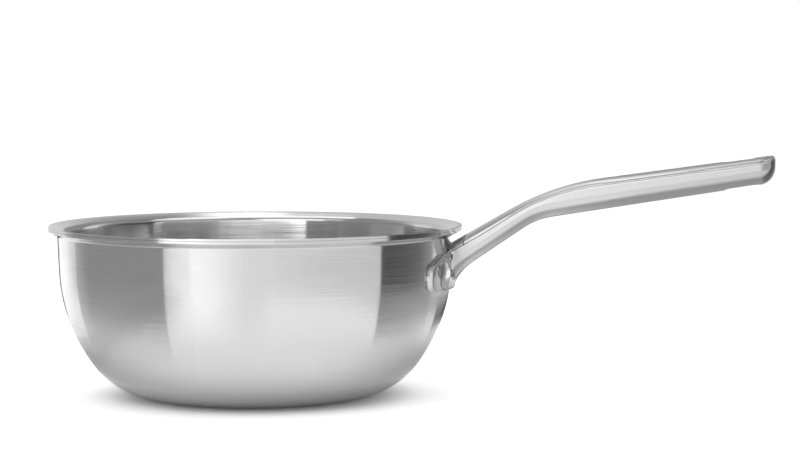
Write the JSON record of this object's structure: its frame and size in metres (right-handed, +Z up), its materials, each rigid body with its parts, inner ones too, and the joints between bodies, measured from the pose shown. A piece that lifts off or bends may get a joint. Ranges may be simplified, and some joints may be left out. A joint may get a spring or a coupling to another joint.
{
  "type": "saucier pan",
  "caption": "Round steel pan with a curved side, a small flat base, a flared lip and one long rising handle riveted to its wall, for sauces on a hob.",
  "frame": {"origin": "centre of the flat base, on its underside", "axes": "+Z up along the bowl's axis, +X out along the handle, +Y to the right of the cook who holds the handle and faces the pan"},
  "size_m": [0.4485, 0.257, 0.1516],
  "materials": {
    "outer_steel": "fine brushed lines that run round the bowl",
    "inner_steel": "satin, close to polished",
    "core_steel": "plain cut edge at the rim",
    "aluminium": "plain cut edge at the rim",
    "cast_steel": "tumbled and hand polished satin",
    "rivet_steel": "polished"
  },
  "bodies": {
    "root": {"outer_shell": "outer_steel", "outer_aluminium": "aluminium", "steel_core": "core_steel", "inner_aluminium": "aluminium", "inner_liner": "inner_steel", "handle_casting": "cast_steel", "handle_cover": "cast_steel", "rivet_left": "rivet_steel", "rivet_right": "rivet_steel"}
  },
  "joints": []
}
